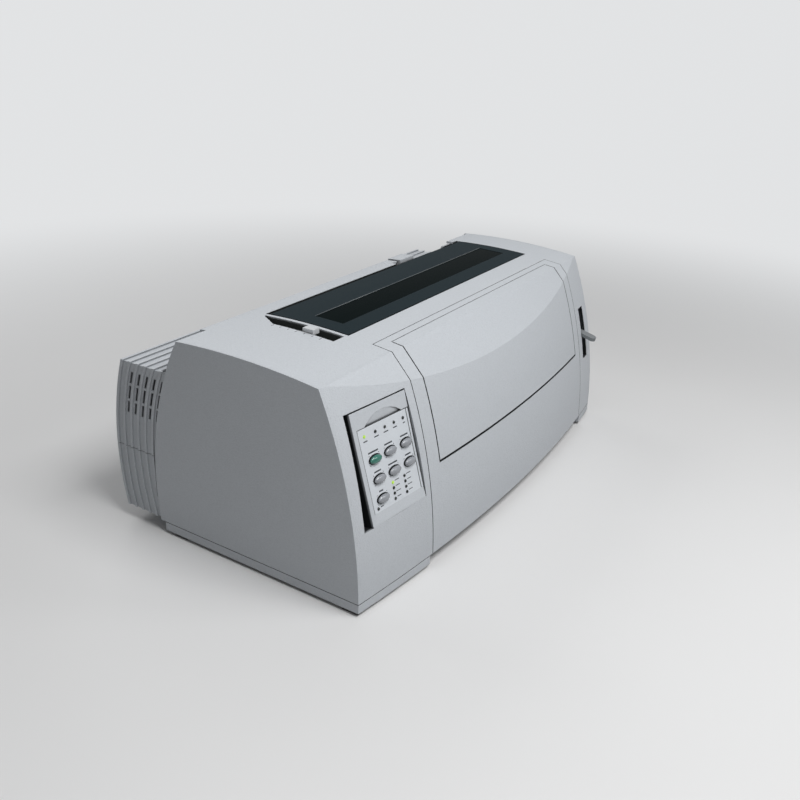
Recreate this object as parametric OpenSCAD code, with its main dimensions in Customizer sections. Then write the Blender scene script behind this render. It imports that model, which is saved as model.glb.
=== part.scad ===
// Wide-carriage dot matrix printer.
// Case coordinates: x = 0 midway between the side panels, y = 0 at the front foot of a side panel,
// z = 0 on the table. place() moves them to the middle of the whole printer's footprint.

/* [Case] */
// Width over the two side panels
case_w = 615; // [612:0.5:618]
// Thickness of the case mouldings
wall = 3; // [2.6:0.1:3.2]
// How far the middle of the front bulges ahead of its ends
bow = 22; // [20:0.5:23]
// Gap along the seams of the moving covers
seam = 0.8; // [0.6:0.1:1]
// Height of the rubber feet
foot_h = 4; // [3:0.5:4]

/* [Covers] */
// Left end of the front cover and ribbon cover
cover_left = -185; // [-186:0.5:-184]
// Right end of the front cover and ribbon cover
cover_right = 250; // [249:0.5:251]
// Left end of the front door
door_left = -163.6; // [-164:0.2:-163]
// Right end of the front door
door_right = 228.6; // [228:0.2:229]
// Height of the front door's lower edge
door_bottom = 119; // [118.6:0.2:119.4]

/* [Mechanism] */
// Radius of the platen
platen_r = 20; // [19.8:0.1:20]
// Where the carriage's middle stands
carriage_x = -60; // [-80:1:-40]
// Where the left tractor stands
left_tractor_x = -165; // [-170:1:-160]
// Where the right tractor stands
right_tractor_x = 190; // [180:1:200]
// How far the paper advance knob stands out of the side
knob_out = 16; // [14:0.5:18]

/* [Hidden] */
$fn = 48;

white = [0.82, 0.83, 0.85];
slate = [0.22, 0.26, 0.28];
black = [0.07, 0.08, 0.09];
steel = [0.62, 0.64, 0.66];
grey = [0.5, 0.53, 0.56];
brass = [0.7, 0.55, 0.25];

half = case_w / 2;
inner = half - wall;
deep = 340;          // back of the rear housing
lip_top = 14.3;      // top of the base pan's rim
case_bottom = 15.1;  // lower edge of the case mouldings
tall = 260;          // above everything

// Side profile: four arcs, each [centre y, centre z, radius]
front_arc = [585, 6, 585];
top_arc = [166, -639, 885];
back_arc = [-96, 59, 376];
rear_arc = [-2, 89, 341];
crease = [47.8, 238.8];    // straight edge between the top and the front facet
facet_slope = 0.917;       // how far the facet goes back for each millimetre up
bow_r = (half * half + bow * bow) / (2 * bow);
rear_top = 204;            // top of the ribbed rear housing
rear_split = 96.5;         // seam between its upper and lower halves
rear_low = 17.8;
rear_floor = rear_low + 5;
rib_pitch = 11;
rib_w = 3.2;
rib_h = 1.5;

cover_back = 71;           // where the front cover meets the top case
lid_front = 102.7;
lid_back = 211.2;
slot_back = 216.5;         // back edge of the paper exit slot
strip_end = 98;            // right end of the strip behind the exit slot
strip_back = 240;

// Operator panel: its middle, how far it turns to the left and leans back
panel_at = [-238, 12.2, 148.2];
panel_turn = 6.4;
panel_lean = 14.1;
panel_hi = 60.4;
panel_lo = -60.2;
panel_left = [-40, -46.2];     // its left edge at the bottom and at the top
panel_right = [44.8, 38.2];    // its right edge at the bottom and at the top
label_top = 42;
label_low = -48;
board_depth = 12;
button_w = 17.6;
button_h = 8.8;
led_r = 1.6;
led_spots = [for (x = [-30.2, -13.6, 0.9, 15.1, 29.6]) [x, 32.8]];
dot_spots = concat([for (i = [0:3]) [-1, -26.2 - 5.85 * i]],
  [for (i = [0:3]) [17.7, -25.9 - 5.95 * i]], [[-28, -44.2]]);
panel_posts = [[-33, -54], [35, -54], [-33, 52], [34, 52]];
// Buttons: row by row, as they stand on the panel
button_spots = [[-20.8, 6.4], [2.6, 6.9], [27.6, 7.1], [-19.3, -14.9], [4.2, -14.8], [28.8, -14.2],
  [-19.2, -35.9]];

// Mechanism
frame_l = -216;            // outer face of the left frame plate
frame_r = 266;             // outer face of the right frame plate
plate = 2;
platen = [180, 172];
platen_l = -184;
platen_e = 249;
shaft_r = 6;
fit = 0.06;                // radial clearance of a running fit
gap = 0.4;                 // clearance between parts that pass each other
pinch_r = 6;
pinch = [platen[0], platen[1] - platen_r - gap - pinch_r];
rod = [124, 144];
rod_r = 5;
belt_y = 108;
belt_z = 140;
belt_w = 6;
belt_in = 7.7;
belt_out = 8.9;
pulley_l = -190;
pulley_e = 246;
bush_r = 9;
head_z = 172;
head_r = 20;
nozzle_y = platen[0] - platen_r - 2.8;
tractor = [276, 158];
tractor_rod_at = [308, 158];
square_w = 8;
gear_x = 268;
gear_w = 6;
teeth_platen = 44;
teeth_idler = 62;
teeth_tractor = 30;
teeth_pinion = 16;
idler = meet(platen, (teeth_platen + teeth_idler) / 2, tractor, (teeth_tractor + teeth_idler) / 2);
pinion = [idler[0] + 39 * cos(-80), idler[1] + 39 * sin(-80)];
idler_phase = mesh_phase(0, teeth_platen, teeth_idler, bearing(platen, idler));
tractor_phase = mesh_phase(idler_phase, teeth_idler, teeth_tractor, bearing(idler, tractor));
pinion_phase = mesh_phase(idler_phase, teeth_idler, teeth_pinion, bearing(idler, pinion));

lever_pivot = [150, 120];
feed_pivot = [66, 150];
feed_droop = 14.8;
cover_pivot = [4, 28];
door_pivot = [4, 85];
lid_pivot = [205, 237.5];
rear_pivot = [254, 202];
switch_at = [302, 59];
tractor_hinge = [-11, 173];
ribbon_spindle = [-150, 105];
window = [[-161.3, 126.7], [229.3, 165.3]];
inlet = [[-262, 312, 34], [-234, 337, 54]];
data_port = [[148, 318, 25.6], [217, 338, 40.6]];
screw_spots = [for (x = [-222, 272], y = [100, 245]) [x, y]];

// Lower of the two points that lie r1 from a and r2 from b
function meet(a, r1, b, r2) =
  let (d = norm(b - a), u = (b - a) / d, m = (r1 * r1 - r2 * r2 + d * d) / (2 * d))
  a + u * m + [u[1], -u[0]] * sqrt(r1 * r1 - m * m);
function bearing(a, b) = atan2(b[1] - a[1], b[0] - a[0]);
// Turn of a driven gear that puts a gap where the driving gear has a tooth
function mesh_phase(turn, n1, n2, way) = way + 180 - (turn - way) * n1 / n2 - 180 / n2;

// From case coordinates to the middle of the footprint
module place() translate([-knob_out / 2, -(deep - 1 - bow) / 2, 0]) children();

// A box between two corners
module block(a, b) translate(a) cube(b - a);
// A (y, z) outline carried along x, an (x, z) outline along y, an (x, y) outline along z
module along_x(x0, x1) translate([x0, 0, 0]) rotate([90, 0, 90]) linear_extrude(x1 - x0) children();
module along_y(y0, y1) translate([0, y1, 0]) rotate([90, 0, 0]) linear_extrude(y1 - y0) children();
module along_z(z0, z1) translate([0, 0, z0]) linear_extrude(z1 - z0) children();
module rod_x(x0, x1, at, r) along_x(x0, x1) translate(at) circle(r = r);
module post(at, z0, z1, r) translate([at[0], at[1], z0]) cylinder(r = r, h = z1 - z0);
module arc_disc(arc, inset) translate([arc[0], arc[1]]) circle(r = arc[2] - inset, $fn = 720);
// A bar of width w from one point to another, with round ends
module bar(a, b, w) {
  translate(a) circle(d = w);
  translate(b) circle(d = w);
  translate(a) rotate(bearing(a, b)) translate([0, -w / 2]) square([norm(b - a), w]);
}
// A gear outline of module 1 with trapezoid teeth
module gear(n, turn) {
  r = n / 2;
  polygon([for (i = [0:n - 1]) for (p = [[-0.29, -1.2], [-0.13, 0.85], [0.13, 0.85], [0.29, -1.2]])
    (r + p[1]) * [cos(turn + (i + p[0]) * 360 / n), sin(turn + (i + p[0]) * 360 / n)]]);
}

// The bowed front: the side profile's arc turned about a far upright axis
module bowed(inset, z0, z1) {
  translate([0, bow_r - bow, 0]) rotate([0, 0, -100]) rotate_extrude(angle = 20, $fn = 360)
    intersection() {
      translate([bow_r - front_arc[2], front_arc[1]]) circle(r = front_arc[2] - inset, $fn = 720);
      translate([bow_r - 460, z0]) square([500, z1 - z0]);
    }
}
// Everything behind the facet plane and under the top arc
module profile(inset) {
  back = inset * sqrt(1 + facet_slope * facet_slope);
  intersection() {
    arc_disc(top_arc, inset);
    polygon([[crease[0] + back + facet_slope * (tall - crease[1]), tall],
      [crease[0] + back - facet_slope * crease[1], 0], [430, 0], [430, tall]]);
  }
}
// A layer of the case's top between two depths, from one y to another
module layer(top, bottom, y0, y1) {
  intersection() {
    difference() {
      profile(top);
      profile(bottom);
    }
    translate([y0, 200]) square([y1 - y0, 60]);
  }
}
module case_solid(inset, x0, x1, z0, z1) {
  intersection() {
    bowed(inset, z0, z1);
    along_x(x0, x1) profile(inset);
  }
}
module skin(inset, x0, x1, z0, z1) {
  difference() {
    case_solid(0, x0, x1, z0, z1);
    case_solid(inset, x0 - 1, x1 + 1, z0 - 1, z1);
  }
}
// A side panel's outline: the case profile, closed by the back arc
module side_outline() {
  intersection() {
    profile(0);
    arc_disc(back_arc, 0);
    translate([-30, case_bottom]) square([420, tall]);
  }
}
module side_panel(x0, x1) {
  intersection() {
    bowed(0, case_bottom, tall);
    along_x(x0, x1) side_outline();
  }
}
// Panel coordinates: x to the right, y up the panel, z out of it
module on_panel() translate(panel_at) rotate([90 - panel_lean, 0, -panel_turn]) children();
// An oval of four arcs, w wide and h high
module oval(w, h) {
  ends = h / 3;
  middle = w / 2 - ends;
  sides = (middle * middle + h * h / 4 - ends * ends) / (h - 2 * ends);
  for (way = [-1, 1])
    translate([way * middle, 0]) circle(r = ends);
  intersection() {
    for (way = [-1, 1])
      translate([0, way * (sides - h / 2)]) circle(r = sides);
    square([2 * middle * sides / (sides - ends), h + 1], center = true);
  }
}

// ---- fixed case ----

module base_pan() color(white) place() {
  difference() {
    intersection() {
      bowed(0, foot_h, lip_top);
      block([-half, -40, foot_h], [half, 270.4, lip_top]);
    }
    block([-190, -60, 0], [255, 10, 20]);
    block([-inner, 13, foot_h + wall], [inner, 270.4 - wall, 20]);
    intersection() {
      bowed(wall, foot_h + wall, 20);
      union() {
        block([-inner, -60, 0], [-193, 20, 20]);
        block([258, -60, 0], [inner, 20, 20]);
      }
    }
    for (at = screw_spots)
      post(at, 0, 20, 2.05);
  }
  // tabs that the side panels are fixed to
  for (x = [-inner, inner - 3], y = [60, 210])
    block([x, y, foot_h + 1], [x + 3, y + 20, 34]);
}

module feet() color(black) place()
  for (x = [-half + 2.5, half - 22.5], y = [2, 240])
    block([x, y, 0], [x + 20, y + 20, foot_h]);

module left_side_panel() color(white) place() side_panel(-half, -inner);

module right_side_panel() color(white) place() difference() {
  union() {
    side_panel(inner, half);
    // holder for the power switch
    block([289, 203, 45], [inner, 227, 73]);
  }
  rod_x(inner - 1, half + 1, platen, 9);
  block([291, 207.6, 59 - 10.6], [half + 1, 222.4, 59 + 10.6]);
  translate([switch_at[0], 205, switch_at[1]]) rotate([-90, 0, 0]) cylinder(r = 1.5 + fit, h = 20);
}

// Outline of the thickness lever's slot, seen from above
module lever_slot() polygon([[-209.5, 104], [-190.5, 104], [-190.5, 212], [-192.5, 212],
  [-209.5, 185.5]]);

module top_case() color(white) place() {
  lug = 12;
  difference() {
    intersection() {
      union() {
        difference() {
          along_x(-inner, inner) intersection() {
            profile(0);
            arc_disc(back_arc, 0);
          }
          along_x(-inner - 1, inner + 1) intersection() {
            profile(wall);
            arc_disc(back_arc, wall);
          }
        }
        along_x(-264, strip_end) difference() {
          profile(0);
          profile(wall);
          translate([strip_back, 0]) square([200, tall]);
        }
        // walls round the two cover openings
        for (x = [cover_left - seam - 2.6, cover_right + seam])
          along_x(x, x + 2.6) difference() {
            profile(1);
            profile(lug + 1);
            translate([-60, 0]) square([cover_back + seam + 60, tall]);
            translate([slot_back, 0]) square([200, tall]);
          }
        for (y = [cover_back + seam, lid_front - seam - 2.6])
          along_x(cover_left - seam - 2.6, cover_right + seam + 2.6) intersection() {
            profile(1);
            translate([y, 226]) square([2.6, 30]);
          }
        // tray under the lever slot
        along_x(-211.5, cover_left - seam - 1) layer(1, 12, 102, 214);
      }
      block([-half, 50, 190], [half, 252, tall]);
    }
    // front cover and its seam
    block([cover_left - seam, 0, 150], [cover_right + seam, cover_back + seam, tall]);
    // ribbon cover and paper exit slot
    block([cover_left - seam, lid_front - seam, 150], [cover_right + seam, slot_back, tall]);
    // open end of the strip behind the exit slot, and the notch before it
    block([strip_end, slot_back - 1, 224], [242, 300, tall]);
    block([84, slot_back - 1, 238], [strip_end + 1, 224, tall]);
    block([200, 228, 235], [half, 300, tall]);
    // lower edge of the back apron
    block([-half, 228, 150], [half, 300, 206.5]);
    difference() {
      along_z(150, tall) lever_slot();
      along_x(-211, -189) profile(10);
    }
    block([-205, 110, 150], [-197, 194, tall]);
    rod_x(cover_left - seam - 3, cover_left, lid_pivot, 2 + fit);
    rod_x(cover_right, cover_right + seam + 3, lid_pivot, 2 + fit);
  }
  // ears that carry the rear cover
  for (x = [-302.5, 299.5])
    along_x(x, x + 3) {
      translate(rear_pivot) circle(r = 2.4);
      polygon([[244.6, 207], [249, 207], [256, 203], [252, 200.8]]);
    }
  rod_x(-306, -302, rear_pivot, 1.2);
  rod_x(302, 306, rear_pivot, 1.2);
}

// Pocket that the operator panel sits in, with a deep groove on its left
module panel_pocket(grow, back) translate([0, 0, back]) linear_extrude(60)
  polygon([[-53.4 - grow, panel_lo - grow], [panel_right[0] + 0.9 + grow, panel_lo - grow],
    [panel_right[1] + 0.9 + grow, panel_hi + 1.4 + grow], [-53.4 - grow, panel_hi + 1.4 + grow]]);

module left_front_case() color(white) place() {
  right = cover_left - seam;
  difference() {
    intersection() {
      union() {
        skin(wall, -inner, right, case_bottom, tall);
        skin(46, right - 2.6, right, case_bottom, 232);
        intersection() {
          case_solid(1, -inner, right, case_bottom, tall);
          on_panel() panel_pocket(2, -26);
        }
      }
      block([-half, -60, 0], [0, 50, tall]);
    }
    on_panel() panel_pocket(0, -24);
  }
  rod_x(right - 1, right + 3.4, cover_pivot, 2.5);
}

module right_front_case() color(white) place() {
  left = cover_right + seam;
  difference() {
    intersection() {
      union() {
        skin(wall, left, inner, case_bottom, tall);
        skin(46, left, left + 2.6, case_bottom, 232);
      }
      block([0, -60, 0], [half, 50, tall]);
    }
    block([267.5, -60, 100], [286.5, 60, 172.5]);
  }
  rod_x(left - 3.4, left + 1, cover_pivot, 2.5);
}

// Outline of the rear housing, seen from the side
module rear_outline(inset) {
  difference() {
    intersection() {
      arc_disc(rear_arc, inset);
      translate([225, 0]) square([130, rear_top - inset]);
    }
    arc_disc(back_arc, -seam);
  }
}
module rear_ring(outer, w) {
  difference() {
    arc_disc(rear_arc, outer);
    arc_disc(rear_arc, outer + w);
  }
}
// Ribbed shell of the rear housing between two heights
module rear_shell(z0, z1) {
  difference() {
    intersection() {
      union() {
        along_x(-half + rib_h, half - rib_h) rear_outline(rib_h);
        for (k = [0:7])
          along_x(-half, half) intersection() {
            rear_outline(0);
            rear_ring(k * rib_pitch, rib_w);
          }
      }
      block([-half, 200, z0], [half, 360, z1]);
    }
    along_x(-inner, inner) intersection() {
      arc_disc(rear_arc, wall + 0.5);
      translate([200, rear_floor]) square([150, rear_top - rear_floor - wall - 0.5]);
    }
  }
}

module rear_case() color(white) place() difference() {
  rear_shell(rear_low, rear_split - seam / 2);
  block([-185, 322, 86], [245, 360, 120]);
  block(inlet[0], inlet[1] + [0, 20, 0]);
  block(data_port[0], data_port[1] + [0, 20, 0]);
}

// ---- operator panel ----

module operator_panel() color(white) place() on_panel() difference() {
  union() {
    translate([0, 0, -3]) linear_extrude(3)
      polygon([[panel_left[0], panel_lo], [panel_right[0], panel_lo],
        [panel_right[1], panel_hi], [panel_left[1], panel_hi]]);
    // skirt beside the dark groove
    translate([0, 0, -18]) linear_extrude(16)
      polygon([[panel_left[0], panel_lo], [panel_left[0] + 2, panel_lo],
        [panel_left[1] + 2, panel_hi], [panel_left[1], panel_hi]]);
    for (at = panel_posts) {
      translate([at[0], at[1], -24]) cylinder(r = 3.5, h = 24 - board_depth - 1.6);
      translate([at[0], at[1], -24]) cylinder(r = 2.5, h = 22);
    }
  }
  // recess for the label sheet, with a sloping lower edge
  intersection() {
    along_x(-60, 60) polygon([[label_top, -0.8], [label_low, -0.8], [-58, 0], [-58, 5],
      [label_top, 5]]);
    linear_extrude(20, center = true)
      polygon([[panel_left[0] + 5.5, panel_lo], [60, panel_lo], [60, panel_hi],
        [panel_left[1] + 5.5, panel_hi]]);
  }
  // thumb scoop above the label, deepest at the label's edge
  intersection() {
    translate([0, 6.8, -10]) cylinder(r = 45.2, h = 20, $fn = 96);
    along_x(-40, 40) polygon([[label_top, -2.2], [52.5, 0], [52.5, 5], [label_top, 5]]);
  }
  for (at = button_spots)
    translate([at[0], at[1], -10]) linear_extrude(20) oval(button_w + 1.2, button_h + 1);
  for (at = concat(led_spots, dot_spots))
    translate([at[0], at[1], -10]) cylinder(r = led_r + 0.1, h = 20);
}

module indicator_lights() color([0.2, 0.5, 0.3]) place() on_panel()
  for (at = concat(led_spots, dot_spots))
    translate([at[0], at[1], -board_depth]) cylinder(r = led_r, h = board_depth - 0.4);

module button(i, c) color(c) place() on_panel() translate([button_spots[i][0], button_spots[i][1], 0]) {
  translate([0, 0, -6.5]) linear_extrude(8.1) oval(button_w, button_h);
  translate([-10, -6, -5]) cube([20, 12, 1.8]);
}
module green_button() button(0, [0.2, 0.6, 0.35]);
module top_middle_button() button(1, grey);
module top_right_button() button(2, grey);
module centre_left_button() button(3, grey);
module centre_middle_button() button(4, grey);
module centre_right_button() button(5, grey);
module lower_left_button() button(6, grey);

module circuit_boards() color([0.1, 0.35, 0.2]) place() {
  // main board on its standoffs
  block([-195, 92, 24], [245, 322, 25.6]);
  for (x = [-180, 230], y = [110, 250])
    post([x, y], foot_h + wall, 24, 3);
  block([-150, 120, 25], [-90, 160, 31]);
  block([-60, 130, 25], [-20, 152, 30]);
  block([0, 130, 25], [40, 152, 30]);
  block([90, 190, 25], [180, 200, 50]);
  for (x = [-140, -110, -80])
    post([x, 220], 25, 50, 11);
  on_panel() {
    difference() {
      translate([-36.5, -58, -board_depth - 1.6]) cube([75, 116, 1.6]);
      for (at = panel_posts)
        translate([at[0], at[1], -20]) cylinder(r = 2.5, h = 12);
    }
    for (at = button_spots)
      translate([at[0] - 3, at[1] - 3, -board_depth - 0.1]) cube([6, 6, 3.9]);
  }
}

// ---- chassis ----

module frame_outline() polygon([[72, 7], [258, 7], [262, rear_floor], [322, rear_floor], [326, 150],
  [318, 186], [262, 190], [246, 190], [232, 226], [84, 226], [72, 210]]);
// Holes both frame plates share
module frame_holes() {
  translate(rod) circle(r = rod_r);
  translate(platen) circle(r = bush_r);
  translate(pinch) circle(r = 2.5 + fit);
  translate(tractor) circle(r = 4 + fit);
  translate(tractor_rod_at) circle(r = 4);
}
// Foot flange of a frame plate
module flange(x) difference() {
  block([x, 72, foot_h + wall], [x + 12, 258, 9]);
  for (at = screw_spots)
    post(at, 0, 20, 2.05);
}

module left_frame() color(steel) place() {
  along_x(frame_l, frame_l + plate) difference() {
    frame_outline();
    frame_holes();
  }
  flange(frame_l - 12);
  rod_x(frame_l + 1, -195, lever_pivot, 4);
}

module right_frame() color(steel) place() {
  along_x(frame_r - plate, frame_r) difference() {
    union() {
      frame_outline();
      // nose that carries the feed lever
      polygon([[74, 132], [56, 140], [56, 162], [74, 170]]);
    }
    frame_holes();
    translate(pinion) circle(r = 11);
  }
  flange(frame_r);
  rod_x(frame_r - 1, 279, feed_pivot, 3);
  rod_x(frame_r - 1, 276, idler, 3);
}

module cross_members() color(steel) place() {
  // deck below the carriage, open underneath
  difference() {
    block([frame_l + plate, 84, 80], [frame_r - plate, 170, 96]);
    block([frame_l, 86, 79], [frame_r, 168, 94]);
  }
  post([pulley_e, belt_y], 95, 136, 8);
  post([pulley_e, belt_y], 95, 148.8, 3);
  // rail that steadies the carriage
  along_x(frame_l + plate, frame_r - plate)
    polygon([[84, 142], [86, 142], [86, 163], [92, 163], [92, 165], [84, 165]]);
}

module guide_rods() color(steel) place() {
  rod_x(frame_l, frame_r, rod, rod_r);
  rod_x(frame_l, frame_r, tractor_rod_at, 4);
}

module paper_guides() color(steel) place() {
  // sloping plate from the front opening to the platen
  along_x(-150, 214) polygon([[52, 110], [162, 126], [162, 128], [52, 112]]);
  for (x = [-140, 30, 200])
    block([x, 100, 96], [x + 4, 150, 117]);
  // pan behind the platen and the plate that leads to it from the tractors
  along_x(platen_l, platen_e - 1) intersection() {
    difference() {
      translate(platen) circle(r = 24);
      translate(platen) circle(r = 22.5);
    }
    translate(platen) rotate(-55) polygon([[0, 0], [60, 0], [60, 60], [0, 60]]);
  }
  along_x(frame_l + plate, frame_r - plate)
    polygon([[203.2, 163], [262, 166.5], [262, 168], [203.2, 164.5]]);
}

module paper_chute() color(black) place() {
  block([frame_l + plate, 214, 222], [frame_r - plate, 238, 224]);
  block([-181, 217, 223], [240, 219, 240.5]);
  // rail for the paper edge guide
  along_x(-181, 240) polygon([[228, 223], [230, 223], [230, 230], [232, 230], [232, 234], [226, 234],
    [226, 230], [228, 230]]);
  // face that leads the paper up from the platen
  along_x(-181, 240) polygon([[206, 198], [214, 222.5], [216, 222.5], [208, 198]]);
}

module motors() color(black) place() {
  // carriage motor, standing
  difference() {
    post([pulley_l, belt_y], 96, 132, 21);
    post([pulley_l, belt_y], 118, 140, 2.5 + fit);
  }
  // paper feed motor, lying against the right frame
  difference() {
    along_x(226, frame_r - plate) translate([pinion[0] - 21, pinion[1] - 21]) square(42);
    rod_x(238, 280, pinion, 2.5 + fit);
  }
}

module carriage_belt() color(black) place() along_z(belt_z, belt_z + belt_w) difference() {
  bar([pulley_l, belt_y], [pulley_e, belt_y], 2 * belt_out);
  bar([pulley_l, belt_y], [pulley_e, belt_y], 2 * belt_in);
}

module platen_bushes() color(brass) place()
  for (x = [-218, frame_r - 4])
    along_x(x, x + 5.5) translate(platen) difference() {
      circle(r = bush_r);
      circle(r = shaft_r + fit);
    }

module ribbon_cartridge() color(black) place() difference() {
  union() {
    block([-178, 82, 198], [243, 128, 214]);
    block([frame_l + plate, 84, 200], [-177, 100, 203]);
    block([242, 84, 200], [frame_r - plate, 100, 203]);
    for (x = [-178, 237])
      block([x, 127, 164], [x + 6, 157.3, 214]);
    block([-173, 157, 165.5], [238, 157.3, 178.5]);
  }
  post(ribbon_spindle, 205.5, 220, 3 + fit);
}

module power_supply() color(steel) place() difference() {
  block([-296, 70, foot_h + wall], [-230, 260, 90]);
  for (y = [90:12:234])
    block([-285, y, 87], [-241, y + 5, 91]);
}

module power_inlet() color(black) place() {
  difference() {
    block(inlet[0], inlet[1]);
    block([-259, 322, 37], [-237, 340, 51]);
  }
  for (at = [[-255, 42], [-249, 45], [-243, 42]])
    block([at[0], 320, at[1]], [at[0] + 2, 333, at[1] + 4]);
}

module data_connector() color(black) place() difference() {
  block(data_port[0], data_port[1]);
  block([154, 328, 28.5], [211, 340, 37.5]);
}

module frame_screws() color(steel) place()
  for (at = screw_spots) {
    post(at, foot_h + 0.5, 10, 2);
    post(at, 9, 11.4, 3.8);
  }

// ---- covers ----

// Outline that joins a lug to the inside of the front skin
module pivot_lug(at, r) {
  translate(at) circle(r = r);
  translate([at[0] - 40, at[1] - r]) square([40, 2 * r]);
}

module front_cover() color(white) place() {
  difference() {
    union() {
      difference() {
        skin(wall, cover_left, cover_right, case_bottom, tall);
        block([door_left - seam, -60, door_bottom - 2.2], [door_right + seam, 61.2 + seam, tall]);
      }
      for (x = [cover_left, cover_right - 2.6]) {
        skin(14, x, x + 2.6, case_bottom, tall);
        intersection() {
          case_solid(1, x, x + 2.6, case_bottom, tall);
          along_x(x, x + 2.6) pivot_lug(cover_pivot, 8);
        }
      }
      // lugs that carry the front door
      for (x = [-153, 215])
        intersection() {
          case_solid(1, x, x + 3, case_bottom, tall);
          along_x(x, x + 3) pivot_lug(door_pivot, 5.5);
        }
    }
    block([-half, cover_back, 0], [half, 500, tall]);
    rod_x(cover_left - 1, cover_left + 4, cover_pivot, 2.5 + fit);
    rod_x(cover_right - 4, cover_right + 1, cover_pivot, 2.5 + fit);
  }
  rod_x(-158.5, -151, door_pivot, 2.5);
  rod_x(216, 223.5, door_pivot, 2.5);
}

module front_door() color(white) place() {
  intersection() {
    skin(2.6, door_left, door_right, door_bottom, tall);
    block([-half, -60, 0], [half, 61.2, tall]);
  }
  // swan-neck arms that reach round the edge of the front cover
  for (x = [-158, 219])
    intersection() {
      case_solid(1, x, x + 4, 60, tall);
      along_x(x, x + 4) translate(door_pivot) difference() {
        union() {
          bar([0, 0], [38, -2], 7);
          bar([38, -2], [38, 41], 7);
          bar([38, 41], [-20, 41], 7);
          circle(r = 5);
        }
        circle(r = 2.5 + fit);
      }
    }
}

module ribbon_cover() color(slate) place() {
  difference() {
    along_x(cover_left, cover_right) layer(0, wall, lid_front, lid_back);
    block([window[0][0], window[0][1], 200], [window[1][0], window[1][1], tall]);
  }
  for (x = [cover_left, cover_right - 2.5])
    along_x(x, x + 2.5) layer(1, 12, lid_front, 208);
  rod_x(cover_left - 3, cover_left + 1, lid_pivot, 2);
  rod_x(cover_right - 1, cover_right + 3, lid_pivot, 2);
}

module cover_window() color(black) place()
  along_x(window[0][0], window[1][0]) layer(0.3, 2.7, window[0][1], window[1][1]);

module rear_cover() color(white) place() difference() {
  rear_shell(rear_split + seam / 2, rear_top);
  block([-185, 322, 86], [245, 360, 108]);
  for (x = [-half - 1, inner - 0.5], k = [1:5])
    along_x(x, x + wall + 1.5) intersection() {
      rear_ring(k * rib_pitch + 5.4, 3.2);
      union() {
        translate([200, 177]) square([150, 14.5]);
        translate([200, 157.5]) square([150, 16.4]);
        translate([200, 140.5]) square([150, 13.7]);
      }
    }
  // clear of the ears on the top case
  block([-inner, 240, 190], [-298.5, 259.5, 210]);
  block([298.5, 240, 190], [inner, 259.5, 210]);
  rod_x(-306.6, -inner + 1, rear_pivot, 1.2 + fit);
  rod_x(inner - 1, 306.6, rear_pivot, 1.2 + fit);
}

module paper_edge_guide() color(white) place() along_x(100, 134) difference() {
  intersection() {
    arc_disc(top_arc, -1.5);
    translate([219.6, 226]) square([20.4, 30]);
  }
  translate([226 - gap, 230 - gap]) square([6 + 2 * gap, 4 + 2 * gap]);
  translate([228 - gap, 200]) square([2 + 2 * gap, 31]);
}

// ---- levers and switch ----

module thickness_lever() color(grey) place() {
  along_x(-203, -199) difference() {
    bar(lever_pivot, [139, 244], 6);
    translate(lever_pivot) circle(r = 4.5);
  }
  along_x(-205, -197) translate(lever_pivot) difference() {
    circle(r = 9);
    circle(r = 4 + fit);
  }
  along_x(-208, -197) translate([139, 246.5]) square([14, 6], center = true);
}

module feed_lever() color(grey) place() {
  along_x(269.5, 275.5) difference() {
    union() {
      translate(feed_pivot) circle(r = 8);
      translate(feed_pivot) rotate(180 + feed_droop) translate([0, -4]) square([56, 8]);
    }
    translate(feed_pivot) circle(r = 3 + fit);
  }
  // flat tab outside the slot, in line with the arm
  translate([275, feed_pivot[0], feed_pivot[1]]) rotate([feed_droop, 0, 0]) translate([0, 0, -2.5])
    linear_extrude(5) {
      translate([0, -72]) circle(r = 6.5);
      translate([-6.5, -72]) square([13, 22]);
    }
}

module power_switch() color(black) place() {
  along_y(208.4, 221.6) intersection() {
    translate(switch_at) circle(r = 10.2);
    polygon([[295, 48], [304.6, 48], [306.4, 59], [309.6, 70], [295, 70]]);
  }
  translate([switch_at[0], 205.4, switch_at[1]]) rotate([-90, 0, 0]) cylinder(r = 1.5, h = 19.2);
}

// ---- paper feed ----

module platen_roller() color(black) place() along_x(platen_l, platen_e) translate(platen) difference() {
  circle(r = platen_r);
  circle(r = shaft_r);
}

module platen_shaft() color(steel) place() rod_x(-222, 320, platen, shaft_r);

// A gear on the right frame with a round bore
module side_gear(at, n, turn, bore) along_x(gear_x, gear_x + gear_w) translate(at) difference() {
  gear(n, turn);
  circle(r = bore);
}

module platen_gear() color(white) place() side_gear(platen, teeth_platen, 0, shaft_r);

module advance_knob() color(black) place() difference() {
  along_x(half + seam, half + knob_out) translate(platen) difference() {
    circle(r = 18);
    for (i = [0:23])
      rotate(i * 15) translate([18.4, 0]) circle(r = 1.3, $fn = 24);
  }
  rod_x(half, 320, platen, shaft_r);
}

module pinch_rollers() color(black) place() {
  rod_x(frame_l, frame_r, pinch, 2.5);
  for (x = [-160, -80, 20, 120, 200])
    rod_x(x, x + 24, pinch, pinch_r);
}

module idler_gear() color(white) place() side_gear(idler, teeth_idler, idler_phase, 3 + fit);

module feed_pinion() color(brass) place() {
  side_gear(pinion, teeth_pinion, pinion_phase, 2);
  rod_x(240, gear_x + gear_w + 1, pinion, 2.5);
}

module tractor_shaft() color(steel) place() {
  along_x(frame_l + plate + 2, frame_r - plate - 2) translate(tractor) square(square_w, center = true);
  rod_x(frame_l - 1, frame_l + plate + 3, tractor, 4);
  rod_x(frame_r - plate - 3, gear_x + gear_w + 1, tractor, 4);
  side_gear(tractor, teeth_tractor, tractor_phase, 3);
}

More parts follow.
